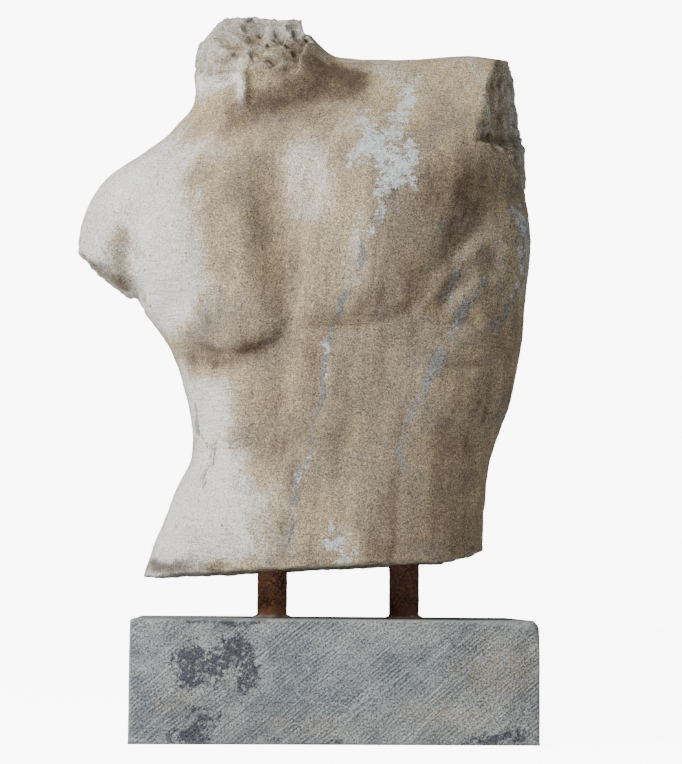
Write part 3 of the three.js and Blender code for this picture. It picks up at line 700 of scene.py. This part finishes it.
def marbleMaterial():
    material, n = newMaterial("weathered_marble")
    look = marbleLook
    fine = n.noise(760, 4, 0.7)
    grain = n.noise(1100, 2, 0.6)
    patchy = n.noise(60, 8, 0.7)
    streaks = n.noise(26, 6, 0.6, stretch=((0, 0.08, 0), (1.0, 1.0, 5.0)))
    bands = n.noise(52, 5, 0.55, stretch=((0, 0.1, 0), (1.0, 1.0, 6.0)))
    thin = n.noise(120, 5, 0.6, stretch=((0, 0.12, 0), (1.0, 1.0, 9.0)))

    def spread(name, texture, reach, low, high):
        loose = n.times(n.minus(texture, 0.5), reach)
        mark = n.attribute(name)
        return n.ramp(n.plus(mark, n.times(loose, n.ramp(mark, 0.02, 0.4))), low, high)

    # age runs from clean stone over ochre to brown, broken up by streaks where rain ran down; on the left
    # shoulder a patina mark adds painted shade
    mark, white = n.attribute("patina_and_painted_shade"), n.attribute("white")
    loose = -1.7
    for texture, share in ((streaks, 1.1), (bands, 1.1), (thin, 0.8), (patchy, 0.4)):
        loose = n.plus(n.times(texture, share), loose)
    loose = n.times(loose, n.ramp(mark, 0.0, 0.45, 0.35, 1.0))
    ageAndPaintedShade = n.minus(n.plus(mark, loose), n.times(white, 0.35))
    n.colour = n.mix(n.times(white, 0.85), look["light"], look["white"])
    n.coat(n.ramp(ageAndPaintedShade, -0.1, 0.4), look["warm"])
    n.coat(n.ramp(ageAndPaintedShade, 0.35, 0.95, 0, 0.92), look["patina_and_painted_shade"])
    grey = n.times(n.ramp(n.noise(13, 4, 0.6, 0.5), 0.42, 0.66, 0, 0.6), n.ramp(ageAndPaintedShade, 0.1, 0.6))
    n.coat(grey, look["olive"])
    n.coat(n.ramp(ageAndPaintedShade, 0.85, 1.3, 0, 0.8), look["deep"])
    cloud = n.ramp(n.noise(30, 9, 0.72, 0.3), 0.42, 0.64, 0, 0.24)
    n.coat(n.times(cloud, n.ramp(ageAndPaintedShade, 0.8, 0.2)), look["olive"])
    n.coat(n.times(spread("white", patchy, 1.6, 0.3, 0.9), 0.35), look["white"])

    slant = n.noise(150, 6, 0.72, 0.3, stretch=((0, 0.32, 0), (1.0, 1.0, 4.5)))
    vein = spread("vein", slant, 3.2, 0.66, 0.9)
    n.coat(n.times(vein, 0.8), look["vein"])
    # stains, and the painted shade line along the arm's cut edge
    stain_and_painted_shade = spread("stain_and_painted_shade", patchy, 1.0, 0.08, 0.95)
    n.coat(n.times(stain_and_painted_shade, 0.85), look["stain_and_painted_shade"])
    chalk = spread("chalk", n.noise(80, 9, 0.8, 0.4), 3.8, 0.46, 0.72)
    n.coat(n.times(chalk, 0.88), look["chalk"])

    # broken faces are grey-white on their edges, with dirt in the hollows
    broken = n.attribute("broken")
    hollow = n.attribute("hollow")
    fresh = n.ramp(n.noise(90, 8, 0.78), 0.42, 0.6)
    bare = n.times(broken, n.minus(1.0, n.times(stain_and_painted_shade, 0.8)))
    ochre = n.ramp(n.noise(70, 7, 0.75), 0.46, 0.62, 0, 0.4)
    n.coat(n.times(broken, ochre), look["patina_and_painted_shade"])
    tone = n.mix(n.times(mark, 0.7), look["fresh"], look["warm"])
    n.coat(n.times(bare, n.times(fresh, 0.6)), tone)
    edges = n.times(n.ramp(hollow, 0.1, 0.42, 0.95, 0), n.plus(n.times(bare, 0.92), 0.05))
    n.coat(edges, tone)
    crumbs = n.noise(190, 6, 0.75)
    sunk = n.ramp(n.plus(hollow, n.times(n.minus(crumbs, 0.5), 0.5)), 0.56, 0.95, 0, 0.25)
    dirt = n.times(sunk, n.minus(1.0, n.times(white, 0.5)))
    n.coat(dirt, look["deep"])

    # dark specks sit in the pits, thicker where the stone is dirty
    speck = n.ramp(n.plus(n.cells(600), n.times(n.noise(45, 5, 0.65), 0.7)), 0.44, 0.6, 1, 0)
    holes = n.ramp(n.plus(n.cells(170), n.times(n.noise(70, 5, 0.7), 0.8)), 0.44, 0.52, 1, 0)
    n.coat(n.times(speck, 0.5), look["speck"])
    n.coat(n.times(holes, 0.6), look["speck"])
    n.coat(0.25, n.ramp(n.noise(400, 6, 0.8), 0.36, 0.64), "OVERLAY")
    for texture, share in ((fine, 0.62), (grain, 0.3)):
        n.coat(share, n.ramp(texture, 0.34, 0.66), "OVERLAY")

    height = n.plus(n.times(fine, 0.7), n.times(grain, 0.3))
    height = n.minus(height, n.plus(n.times(speck, 0.8), n.times(holes, 1.4)))
    rasp = n.noise(100, 3, 0.6, 0.2, stretch=((0, 0.1, 0), (4.0, 4.0, 0.35)))
    worked = n.ramp(n.noise(11, 3, 0.5), 0.4, 0.62, 0.3, 2.2)
    height = n.plus(height, n.times(rasp, worked))
    carved = n.bump(height, 0.9, 0.0016)
    rough = n.bump(n.plus(n.noise(170, 7, 0.75), n.times(n.noise(520, 5, 0.75), 0.4)), 1.0, 0.004)
    normal = n.add("ShaderNodeMix", {"Factor": broken, 4: carved, 5: rough}, data_type="VECTOR").outputs[1]
    n.fill(n.shader, {"Base Color": n.colour, "Roughness": n.ramp(fine, 0.2, 0.8, 0.62, 0.82),
                      "Specular IOR Level": 0.35, "Normal": normal})
    return material


plinth = {
    "width": 400.0,
    "depth": 240.0,
    "height": 120.0,
    "cell": 3.0,           # spacing of the points on its six sides
    "wear": 1.1,           # how far the edges are rounded
    "cornerLoss": 9.0,     # what the upper corner in front has lost besides, and how far around
    "cornerReach": 16.0,
    "waves": 0.35,         # depth of the waves that the saw left in the sides
    "ripples": 0.16,
}

# Colour marks on the block: place, reach and strength.
plinthMarks = {
    "blotch": [
        ((-140, -120, 82), (22, 20, 16), 0.9), ((-138, -120, 62), (20, 20, 14), 0.85),
        ((-96, -120, 88), (20, 20, 18), 0.85), ((-84, -120, 64), (14, 20, 18), 0.85),
        ((-110, -120, 76), (16, 20, 16), 0.8),
        ((-116, -116, 118), (48, 12, 4), 0.9), ((-76, -116, 117), (16, 12, 5), 0.9),
        ((-142, -120, 10), (24, 20, 14), 0.85), ((-128, -120, 28), (16, 20, 10), 0.6),
        ((150, -120, 4), (24, 20, 6), 0.9), ((176, -120, 8), (14, 20, 8), 0.8),
        ((118, -120, 3), (18, 20, 4), 0.7), ((-20, -120, 2), (70, 20, 3), 0.6),
        ((60, -110, 120), (30, 12, 4), 0.35), ((120, 122, 70), (40, 20, 22), 0.8),
        ((-60, 122, 30), (30, 20, 18), 0.7), ((202, 30, 60), (20, 40, 24), 0.7),
    ],
    "tint": [
        ((160, -120, 72), (44, 20, 30), 0.9), ((110, -120, 30), (60, 20, 20), 0.7),
        ((-150, -120, 40), (22, 20, 14), 0.6), ((-20, -120, 20), (60, 20, 16), 0.5),
        ((200, 0, 60), (30, 80, 50), 0.5), ((0, 120, 60), (150, 20, 40), 0.4),
    ],
    "blue": [
        ((-185, -120, 60), (26, 20, 60), 0.8), ((-40, -120, 90), (40, 20, 20), 0.6),
        ((10, -120, 40), (50, 20, 24), 0.5), ((40, -120, 64), (90, 20, 46), 0.5),
        ((-40, -120, 50), (50, 20, 46), 0.5), ((-200, 0, 60), (20, 90, 60), 0.6),
    ],
}


# The block as one closed grid on its six sides.
def makePlinth():
    size = np.array([plinth["width"], plinth["depth"], plinth["height"]])
    steps = np.round(size / plinth["cell"]).astype(int)
    keys, points, quads = {}, [], []

    def corner(i, j, k):
        key = (i, j, k)
        if key not in keys:
            keys[key] = len(points)
            points.append(np.array(key) / steps * size - (size[0] / 2, size[1] / 2, 0))
        return keys[key]

    for axis in range(3):
        u, w = (axis + 1) % 3, (axis + 2) % 3
        for end in (0, steps[axis]):
            for a in range(steps[u]):
                for b in range(steps[w]):
                    ring = []
                    for da, db in ((0, 0), (1, 0), (1, 1), (0, 1)):
                        place = [0, 0, 0]
                        place[axis], place[u], place[w] = end, a + da, b + db
                        ring.append(corner(*place))
                    quads.append(ring if end else ring[::-1])
    points, quads = np.array(points), np.array(quads)

    # worn edges: every point is drawn into a block with rounded, knocked edges
    half = size / 2
    local = points - (0, 0, half[2])
    knocks = np.maximum(noise(points, 16, 31) * 0.9 + noise(points, 47, 32), 0)
    toCorner = (local - half * (1, -1, 1)) * (0.35, 0.6, 1.0)
    nearCorner = np.exp(-(np.linalg.norm(toCorner, axis=1) / plinth["cornerReach"]) ** 2)
    loss = plinth["cornerLoss"] * nearCorner
    radius = (plinth["wear"] * (0.7 + 1.5 * knocks) + loss)[:, None]
    inner = np.clip(local, -(half - radius), half - radius)
    away = local - inner
    reach = np.linalg.norm(away, axis=1, keepdims=True)
    rounded = inner + away / np.maximum(reach, 1e-9) * np.minimum(reach, radius)
    flat = points[:, 2] < 0.01
    rounded[flat] = np.where(np.abs(rounded[flat]) < np.abs(local[flat]), rounded[flat], local[flat])
    rounded[flat, 2] = -half[2]
    p = rounded + (0, 0, half[2])
    sides = (np.abs(local[:, :2]) > half[:2] - 0.01).any(1) & ~flat
    wave = plinth["waves"] * noise(p, 42, 33) + plinth["ripples"] * noise(p, 12, 34) - plinth["waves"]
    inward = np.sign(local) * (np.abs(local) > half - 0.01)
    p = p + inward * (wave * sides)[:, None]
    obj = newObject("grey_plinth", p * mm, quads)
    # painted highlight: the rounded edges get a paler colour, and the top face half as much, as if it caught
    # more light
    paintedHighlightBevel = np.sort(np.abs(away), axis=1)[:, 1]
    paintedLightOnTop = local[:, 2] > half[2] - 0.01
    addAttribute(obj, "painted_highlight", np.maximum(smoothStep(paintedHighlightBevel / 0.8), 0.5 * paintedLightOnTop))
    warped = p + 5 * np.stack([noise(p, 15, 35), noise(p, 15, 36), noise(p, 15, 37)], -1)
    for name, spots in plinthMarks.items():
        clear = np.ones(len(p))
        for at, reachOut, strength in spots:
            away = (warped - np.array(at, float)) / np.array(reachOut, float)
            clear *= 1 - strength * np.exp(-(away ** 2).sum(1) ** 1.5)
        addAttribute(obj, name, 1 - clear)
    return obj


rods = {
    "left": -60.0,         # where each bar stands
    "right": 76.0,
    "radius": 16.0,
    "bottom": 60.4,
    "topIn": 66.0,         # how far the bars reach into the torso
    "flake": 0.5,          # height of the scaling rust
    "flakeSize": 9.0,
    "slack": 0.05,         # keeps the highest flakes within the radius
    "collarWidth": 7.0,
    "collarHeight": 4.0,
    "collarGap": 0.3,      # left between the mortar and the block and bar
}


# Geometry nodes for a bar: a fine cylinder whose side is pushed in and out by scaling rust.
def makeBarTree():
    tree = bpy.data.node_groups.new("rusty_bar", "GeometryNodeTree")
    sockets = {}
    kinds = {"Radius": "Float", "Length": "Float", "Place": "Vector", "Flake Height": "Float",
             "Flake Size": "Float", "Seed": "Int", "Material": "Material"}
    for name, kind in kinds.items():
        socket = tree.interface.new_socket(name, in_out="INPUT", socket_type="NodeSocket" + kind)
        sockets[name] = socket.identifier
    tree.interface.new_socket("Geometry", in_out="OUTPUT", socket_type="NodeSocketGeometry")
    n = Nodes(tree)
    given = n.add("NodeGroupInput").outputs
    sizes = {"Vertices": 64, "Side Segments": 110, "Radius": given["Radius"], "Depth": given["Length"]}
    bar = n.add("GeometryNodeMeshCylinder", sizes).outputs

    # outward direction from the bar's middle line
    apart = n.add("ShaderNodeSeparateXYZ", {0: n.add("GeometryNodeInputPosition").outputs[0]}).outputs
    flat = n.add("ShaderNodeCombineXYZ", {"X": apart["X"], "Y": apart["Y"]})
    outward = n.add("ShaderNodeVectorMath", {0: flat.outputs[0]}, operation="NORMALIZE")

    finer = n.math("DIVIDE", 1, given["Flake Size"])
    flakes = {"W": given["Seed"], "Scale": finer, "Detail": 5, "Roughness": 0.6}
    rust = n.add("ShaderNodeTexNoise", flakes, noise_dimensions="4D").outputs["Fac"]
    height = n.add("ShaderNodeMapRange", {"Value": rust, "From Min": 0.3, "From Max": 0.7, "To Min": -1})
    lift = n.times(height.outputs[0], given["Flake Height"])
    offset = n.add("ShaderNodeVectorMath", {0: outward.outputs[0], "Scale": lift}, operation="SCALE")
    shape = n.add("GeometryNodeSetPosition", {"Geometry": bar["Mesh"], "Selection": bar["Side"],
                                              "Offset": offset.outputs[0]})
    shape = n.add("GeometryNodeTransform", {"Geometry": shape.outputs[0], "Translation": given["Place"]})
    shape = n.add("GeometryNodeSetShadeSmooth", {0: shape.outputs[0], "Selection": bar["Side"]})
    shape = n.add("GeometryNodeRealizeInstances", {0: shape.outputs[0]})
    shape = n.add("GeometryNodeSetMaterial", {"Geometry": shape.outputs[0], "Material": given["Material"]})
    n.add("NodeGroupOutput", {0: shape.outputs[0]})
    return tree, sockets


def makeRod(side, material, tree, sockets):
    x = rods[side]
    at, out = breaks[0][2][0]      # the torso's underside, which slants
    top = torso["torsoFoot"] + at[2] - x * out[0] / out[2] + rods["topIn"]
    holder = newObject("bar_" + side, np.zeros((0, 3)), [])
    modifier = holder.modifiers.new("bar", "NODES")
    modifier.node_group = tree
    sizes = {
        "Radius": (rods["radius"] - rods["flake"] - rods["slack"]) * mm,
        "Length": (top - rods["bottom"]) * mm,
        "Place": (x * mm, 0.0, (top + rods["bottom"]) / 2 * mm),
        "Flake Height": rods["flake"] * mm,
        "Flake Size": rods["flakeSize"] * mm,
        "Seed": 3 if side == "left" else 8,
        "Material": material,
    }
    for name, value in sizes.items():
        modifier[sockets[name]] = value
    evaluated = holder.evaluated_get(bpy.context.evaluated_depsgraph_get())
    mesh = bpy.data.meshes.new_from_object(evaluated)
    bpy.data.objects.remove(holder)
    mesh.name = "iron_rod_" + side
    rod = bpy.data.objects.new("iron_rod_" + side, mesh)
    bpy.context.scene.collection.objects.link(rod)
    return rod


def makeCollar(side):
    x = rods[side]
    seed = 50 if side == "left" else 55
    sides = 72
    base = plinth["height"] + rods["collarGap"]
    inner = rods["radius"] + rods["collarGap"]
    angle = np.linspace(0, 2 * math.pi, sides, endpoint=False)

    def ring(radius, height):
        return np.stack([np.cos(angle) * radius + x, np.sin(angle) * radius, height + 0 * angle], -1)

    around = ring(20, 0)      # where the noise is read
    crumbly = 0.3 * noise(around, 11, seed) + 0.12 * noise(around, 4, seed + 1)
    reach = rods["collarWidth"] * (0.68 + crumbly)
    tall = rods["collarHeight"] * (0.72 + 0.26 * noise(around, 8, seed + 2))
    section = [(0, 0), (0.55, 0), (1, 0), (0.96, 0.18), (0.78, 0.4), (0.5, 0.62), (0.25, 0.85),
               (0.08, 1), (0, 0.98), (0, 0.5)]
    p = np.concatenate([ring(inner + reach * out, base + tall * up) for out, up in section])
    n = len(section)
    quads = np.array([[a + k, a + (k + 1) % sides, b + (k + 1) % sides, b + k]
                      for a, b in zip(range(0, n * sides, sides), [*range(sides, n * sides, sides), 0])
                      for k in range(sides)])
    return newObject("mortar_collar_" + side, p * mm, quads)


plinthLook = {
    "grey": (0.105, 0.118, 0.124),
    "pale": (0.25, 0.262, 0.258),
    "blotch": (0.045, 0.045, 0.065),
    "blue": (0.12, 0.14, 0.175),
    "scratch": (0.42, 0.435, 0.43),
    "warm": (0.235, 0.2, 0.145),
}


def plinthMaterial():
    material, n = newMaterial("sawn_grey_stone")
    look = plinthLook
    n.colour = n.mix(n.ramp(n.noise(18, 8, 0.65), 0.4, 0.62), look["grey"], look["pale"])
    loose = n.noise(60, 8, 0.72)
    blue = n.times(n.attribute("blue"), n.ramp(loose, 0.3, 0.6))
    n.coat(n.times(blue, 0.8), look["blue"])
    tint = n.times(n.attribute("tint"), n.ramp(loose, 0.35, 0.65))
    n.coat(n.times(tint, 0.9), look["warm"])

    # blade marks cross the faces aslant, with fine bright scratches between them
    saw = n.noise(150, 2, 0.5, stretch=((0, -0.68, 0), (13.0, 1.0, 0.34)))
    scratches = n.noise(330, 2, 0.5, stretch=((0, -0.74, 0), (24.0, 1.0, 0.5)))
    across = n.add("ShaderNodeSeparateXYZ", {0: n.stretched((0, -0.68, 0), (1, 1, 1))})
    phase = n.plus(n.times(across.outputs[2], 1750.0), n.times(n.noise(16, 5, 0.6), 16.0))
    kerf = n.times(n.ramp(n.math("SINE", phase), 0.1, 1.0), n.ramp(n.noise(55, 6, 0.75), 0.36, 0.6))
    n.coat(n.ramp(saw, 0.53, 0.7, 0, 0.28), look["scratch"])
    n.coat(n.ramp(saw, 0.32, 0.47, 0.45, 0), look["grey"])
    n.coat(n.times(kerf, 0.42), look["scratch"])
    n.coat(n.ramp(scratches, 0.56, 0.68, 0, 0.4), look["scratch"])
    seams = n.noise(9, 3, 0.5, 0.3, stretch=((0, 0.06, 0), (3.0, 1.0, 0.8)))
    seam = n.math("ABSOLUTE", n.minus(seams, 0.5))
    n.coat(n.ramp(seam, 0.0, 0.009, 0.22, 0), look["scratch"])

    crumbs = n.noise(170, 8, 0.85)
    mark = n.attribute("blotch")
    blotch = n.ramp(n.plus(n.times(mark, 0.8), n.times(n.minus(crumbs, 0.5), 4.2)), 0.5, 0.62)
    blotch = n.times(blotch, n.ramp(mark, 0.08, 0.3))
    n.coat(n.times(blotch, 0.92), look["blotch"])
    fine = n.noise(560, 4, 0.65)
    n.coat(0.75, n.ramp(fine, 0.32, 0.68), "OVERLAY")
    # painted highlight: paler colour on the rounded edges and, half as strong, on the top face
    n.coat(n.times(n.attribute("painted_highlight"), 0.6), look["pale"])
    height = n.plus(n.times(fine, 0.5), n.times(saw, 1.0))
    height = n.minus(height, n.times(blotch, 0.5))
    n.fill(n.shader, {"Base Color": n.colour, "Roughness": n.ramp(fine, 0.2, 0.8, 0.7, 0.9),
                      "Specular IOR Level": 0.3, "Normal": n.bump(height, 0.7, 0.0014)})
    return material


ironLook = {"dark": (0.075, 0.036, 0.024), "rust": (0.26, 0.11, 0.058), "bright": (0.6, 0.27, 0.14)}


def ironMaterial():
    material, n = newMaterial("rusty_iron_bar")
    n.colour = n.mix(n.ramp(n.noise(60, 7, 0.7), 0.38, 0.66), ironLook["dark"], ironLook["rust"])
    flakes = n.noise(420, 6, 0.75)
    n.coat(n.ramp(flakes, 0.48, 0.62, 0, 0.75), ironLook["bright"])
    place = n.add("ShaderNodeSeparateXYZ", {0: n.coords})
    foot = n.ramp(n.plus(place.outputs[2], n.times(n.noise(90, 4, 0.6), 0.02)), 0.128, 0.146, 0.75, 0)
    n.coat(foot, ironLook["bright"])
    # painted shade: the bar on the right is darkened, as if it stood more in shadow
    paintedShadeRight = n.ramp(place.outputs[0], 0.02, 0.05, 0, 0.5)      # for the bar on the right
    n.coat(paintedShadeRight, ironLook["dark"])
    normal = n.bump(n.plus(flakes, n.noise(90, 4, 0.6)), 0.7, 0.0016)
    n.fill(n.shader, {"Base Color": n.colour, "Metallic": 0.25,
                      "Roughness": n.ramp(flakes, 0.3, 0.7, 0.7, 0.95), "Normal": normal})
    return material


mortarLook = {"pale": (0.42, 0.34, 0.30), "dark": (0.20, 0.15, 0.13)}


def mortarMaterial():
    material, n = newMaterial("old_mortar")
    n.colour = n.mix(n.ramp(n.noise(130, 7, 0.7), 0.38, 0.62), mortarLook["dark"], mortarLook["pale"])
    grain = n.cells(700)
    n.coat(n.ramp(grain, 0.1, 0.4, 0.35, 0), mortarLook["dark"])
    n.fill(n.shader, {"Base Color": n.colour, "Roughness": n.ramp(grain, 0, 0.6, 0.85, 0.97),
                      "Normal": n.bump(n.noise(420, 6, 0.75), 0.8, 0.0014)})
    return material


def finish(obj, material, slot, *nodes):
    if not obj.data.materials:
        obj.data.materials.append(material)
    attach(obj, "root")
    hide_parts(*nodes)


print("torso")
finish(makeTorso(), marbleMaterial(), "marble", "torso")
print("plinth")
finish(makePlinth(), plinthMaterial(), "grey_stone", "plinth")
print("rods and mortar")
iron, mortar = ironMaterial(), mortarMaterial()
barTree, barSockets = makeBarTree()
for side in ("left", "right"):
    finish(makeRod(side, iron, barTree, barSockets), iron, "rusty_iron", "rod_" + side)
    finish(makeCollar(side), mortar, "mortar", "mortar_" + side)

print("camera, light and floor")
studio = {
    "camera": (-94.2, -2091.7, 148.7),      # millimetres, fitted to the block's edges in the photograph
    "pan": 0.04943,        # radians
    "tilt": 0.10271,
    "roll": 0.00738,
    "focal": 2019.4,       # in the photograph's own dots, of which it is 764 high
    "dotsHigh": 764,
    "sensor": 36.0,
    "fill": 0.12,          # light from all round
    "backdrop": 9.0,       # brightness of what is seen behind
    "floorGlow": 8.5,
    "floorReach": 6.0,     # metres from the middle
    "floorDrop": 0.0005,   # keeps the floor clear of the block's underside
}
lights = {
    "key": {"place": (-2.1, -1.35, 1.75), "target": (0, 0, 0.42), "size": (1.1, 1.1), "power": 165,
            "colour": (1.0, 0.99, 0.975)},
    "front": {"place": (1.4, -2.3, 1.1), "target": (0, 0, 0.4), "size": (2.0, 2.0), "power": 13,
              "colour": (0.97, 0.98, 1.0)},
}


def addCamera():
    data = bpy.data.cameras.new("camera")
    data.sensor_width = studio["sensor"]
    data.lens = studio["focal"] / studio["dotsHigh"] * studio["sensor"]
    data.clip_end = 50
    camera = bpy.data.objects.new("camera", data)
    bpy.context.scene.collection.objects.link(camera)
    pan, tilt, roll = studio["pan"], studio["tilt"], studio["roll"]
    forward = Vector((math.sin(pan) * math.cos(tilt), math.cos(pan) * math.cos(tilt), math.sin(tilt)))
    right = Vector((math.cos(pan), -math.sin(pan), 0))
    up = right.cross(forward)
    right, up = right * math.cos(roll) + up * math.sin(roll), up * math.cos(roll) - right * math.sin(roll)
    turn = Matrix((right, up, -forward)).transposed().to_4x4()
    camera.matrix_world = Matrix.Translation(Vector(studio["camera"]) * mm) @ turn
    bpy.context.scene.camera = camera


def addLight(name, place, target, size, power, colour):
    data = bpy.data.lights.new(name, "AREA")
    data.shape = "RECTANGLE"
    data.size, data.size_y = size
    data.energy = power
    data.color = colour
    light = bpy.data.objects.new(name, data)
    bpy.context.scene.collection.objects.link(light)
    light.location = place
    light.rotation_euler = (Vector(target) - Vector(place)).to_track_quat("-Z", "Y").to_euler()


# White behind the piece, though hardly any light comes from there.
def addWorld():
    world = bpy.data.worlds.new("studio")
    world.use_nodes = True
    n = Nodes(world.node_tree)
    seen = n.add("ShaderNodeLightPath").outputs["Is Camera Ray"]
    glow = {"Value": seen, "To Min": studio["fill"], "To Max": studio["backdrop"]}
    strength = n.add("ShaderNodeMapRange", glow)
    n.fill(n.tree.nodes["Background"], {"Color": (1, 1, 1), "Strength": strength.outputs[0]})
    bpy.context.scene.world = world


def addFloor():
    far, drop = studio["floorReach"], studio["floorDrop"]
    corners = [(x * far, y * far, -drop) for x, y in ((-1, -1), (1, -1), (1, 1), (-1, 1))]
    obj = newObject("floor", corners, [[0, 1, 2, 3]], False)
    material, n = newMaterial("pale_floor")
    glow = n.times(n.add("ShaderNodeLightPath").outputs["Is Camera Ray"], studio["floorGlow"])
    n.fill(n.shader, {"Base Color": (0.85, 0.85, 0.85), "Roughness": 0.9, "Emission Color": (1, 1, 1),
                      "Emission Strength": glow})
    obj.data.materials.append(material)


addCamera()
addWorld()
addFloor()
for name, light in lights.items():
    addLight(name, **light)
